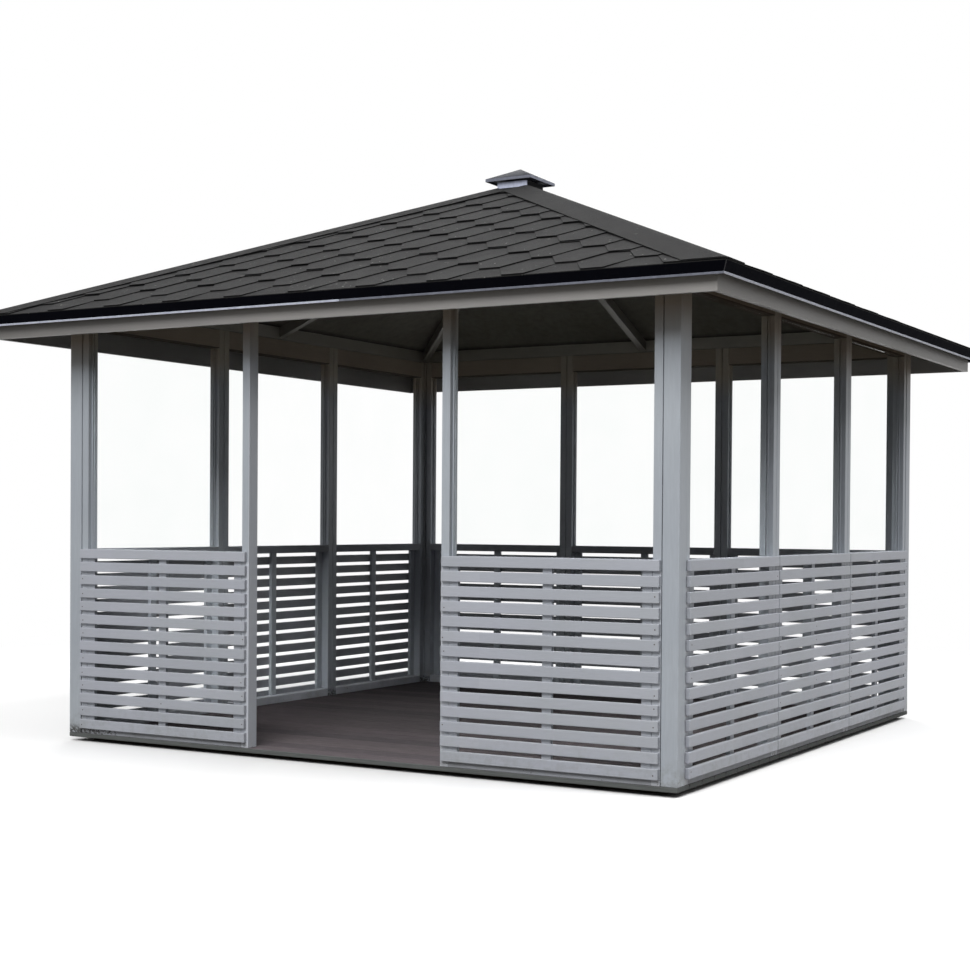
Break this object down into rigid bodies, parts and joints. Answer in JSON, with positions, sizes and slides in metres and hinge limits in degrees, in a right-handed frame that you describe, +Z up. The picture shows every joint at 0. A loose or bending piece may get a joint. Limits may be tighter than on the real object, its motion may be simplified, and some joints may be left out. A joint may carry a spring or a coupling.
{
  "type": "garden gazebo",
  "caption": "Square timber garden gazebo with an open doorway, slatted parapets, glazed bays above them, a hipped shingle roof, a dark eave flashing and a small metal roof vent.",
  "frame": {"origin": "centre of the plan at the level the bearers rest on", "axes": "+Z up, +X along the front to its right as seen from outside, +Y from the doorway towards the back wall"},
  "size_m": [3.6946, 3.6946, 2.8066],
  "materials": {
    "bearer_timber": "rough sawn treated softwood",
    "deck_boards": "weathered grey-brown deck boards",
    "white_paint": "off-white painted timber, worn at the arrises",
    "slat_paint": "off-white painted slats with small nail holes",
    "window_glass": "clear glass",
    "inner_paint": "grey painted timber",
    "ceiling_boards": "grey painted boarding",
    "bitumen_shingle": "dark grey mineral-faced bitumen shingle with pale flecks",
    "fascia_paint": "pale grey painted board",
    "black_flashing": "black painted sheet with a bare bottom hem",
    "vent_metal": "dull bare sheet metal"
  },
  "bodies": {
    "root": {"floor_bearers": "bearer_timber", "floor_deck": "deck_boards", "corner_post_front_left": "white_paint", "corner_post_front_right": "white_paint", "corner_post_back_right": "white_paint", "corner_post_back_left": "white_paint", "bay_frame_front_left": "white_paint", "bay_frame_front_right": "white_paint", "bay_frame_right_front": "white_paint", "bay_frame_right_middle": "white_paint", "bay_frame_right_back": "white_paint", "bay_frame_back_right": "white_paint", "bay_frame_back_middle": "white_paint", "bay_frame_back_left": "white_paint", "bay_frame_left_back": "white_paint", "bay_frame_left_middle": "white_paint", "bay_frame_left_front": "white_paint", "slat_screen_front_left": "slat_paint", "glass_front_left": "window_glass", "slat_screen_front_right": "slat_paint", "glass_front_right": "window_glass", "slat_screen_right": "slat_paint", "glass_right": "window_glass", "slat_screen_back": "slat_paint", "glass_back": "window_glass", "slat_screen_left": "slat_paint", "glass_left": "window_glass", "wall_plate": "inner_paint", "roof_rafters": "inner_paint", "roof_boarding_front": "ceiling_boards", "shingles_front": "bitumen_shingle", "roof_boarding_right": "ceiling_boards", "shingles_right": "bitumen_shingle", "roof_boarding_back": "ceiling_boards", "shingles_back": "bitumen_shingle", "roof_boarding_left": "ceiling_boards", "shingles_left": "bitumen_shingle", "fascia": "fascia_paint", "eave_flashing": "black_flashing", "hip_cap_front_left": "bitumen_shingle", "hip_cap_front_right": "bitumen_shingle", "hip_cap_back_right": "bitumen_shingle", "hip_cap_back_left": "bitumen_shingle", "vent_collar": "vent_metal", "vent_hood": "vent_metal"}
  },
  "joints": []
}
